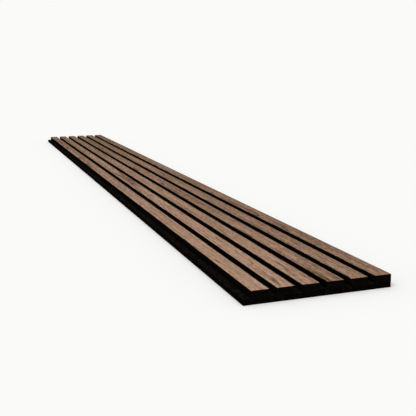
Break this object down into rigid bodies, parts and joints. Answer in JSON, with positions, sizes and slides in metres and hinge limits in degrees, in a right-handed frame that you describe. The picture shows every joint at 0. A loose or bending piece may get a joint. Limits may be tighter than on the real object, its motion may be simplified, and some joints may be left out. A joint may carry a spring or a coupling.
{
  "type": "acoustic slat wall panel",
  "caption": "Long sound-absorbing wall panel: walnut-veneered black slats fixed side by side, with open grooves between, on a black felt backing that is bare along one edge.",
  "frame": {"origin": "centre of the felt's back face, the face that lies on the wall", "axes": "+Z out of the wall towards the slats' faces, +Y along the slats, +X across the slats from the bare felt lip to the flush edge"},
  "size_m": [0.24, 2.4, 0.021],
  "materials": {
    "felt": "matt needled felt",
    "black_fibreboard": "matt, dyed through",
    "walnut_veneer": "satin lacquered veneer",
    "staple_wire": "galvanised"
  },
  "bodies": {
    "root": {"felt_backing": "felt", "slat_core_1": "black_fibreboard", "slat_core_2": "black_fibreboard", "slat_core_3": "black_fibreboard", "slat_core_4": "black_fibreboard", "slat_core_5": "black_fibreboard", "slat_core_6": "black_fibreboard", "slat_veneer_1": "walnut_veneer", "slat_veneer_2": "walnut_veneer", "slat_veneer_3": "walnut_veneer", "slat_veneer_4": "walnut_veneer", "slat_veneer_5": "walnut_veneer", "slat_veneer_6": "walnut_veneer", "back_staples": "staple_wire"}
  },
  "joints": []
}
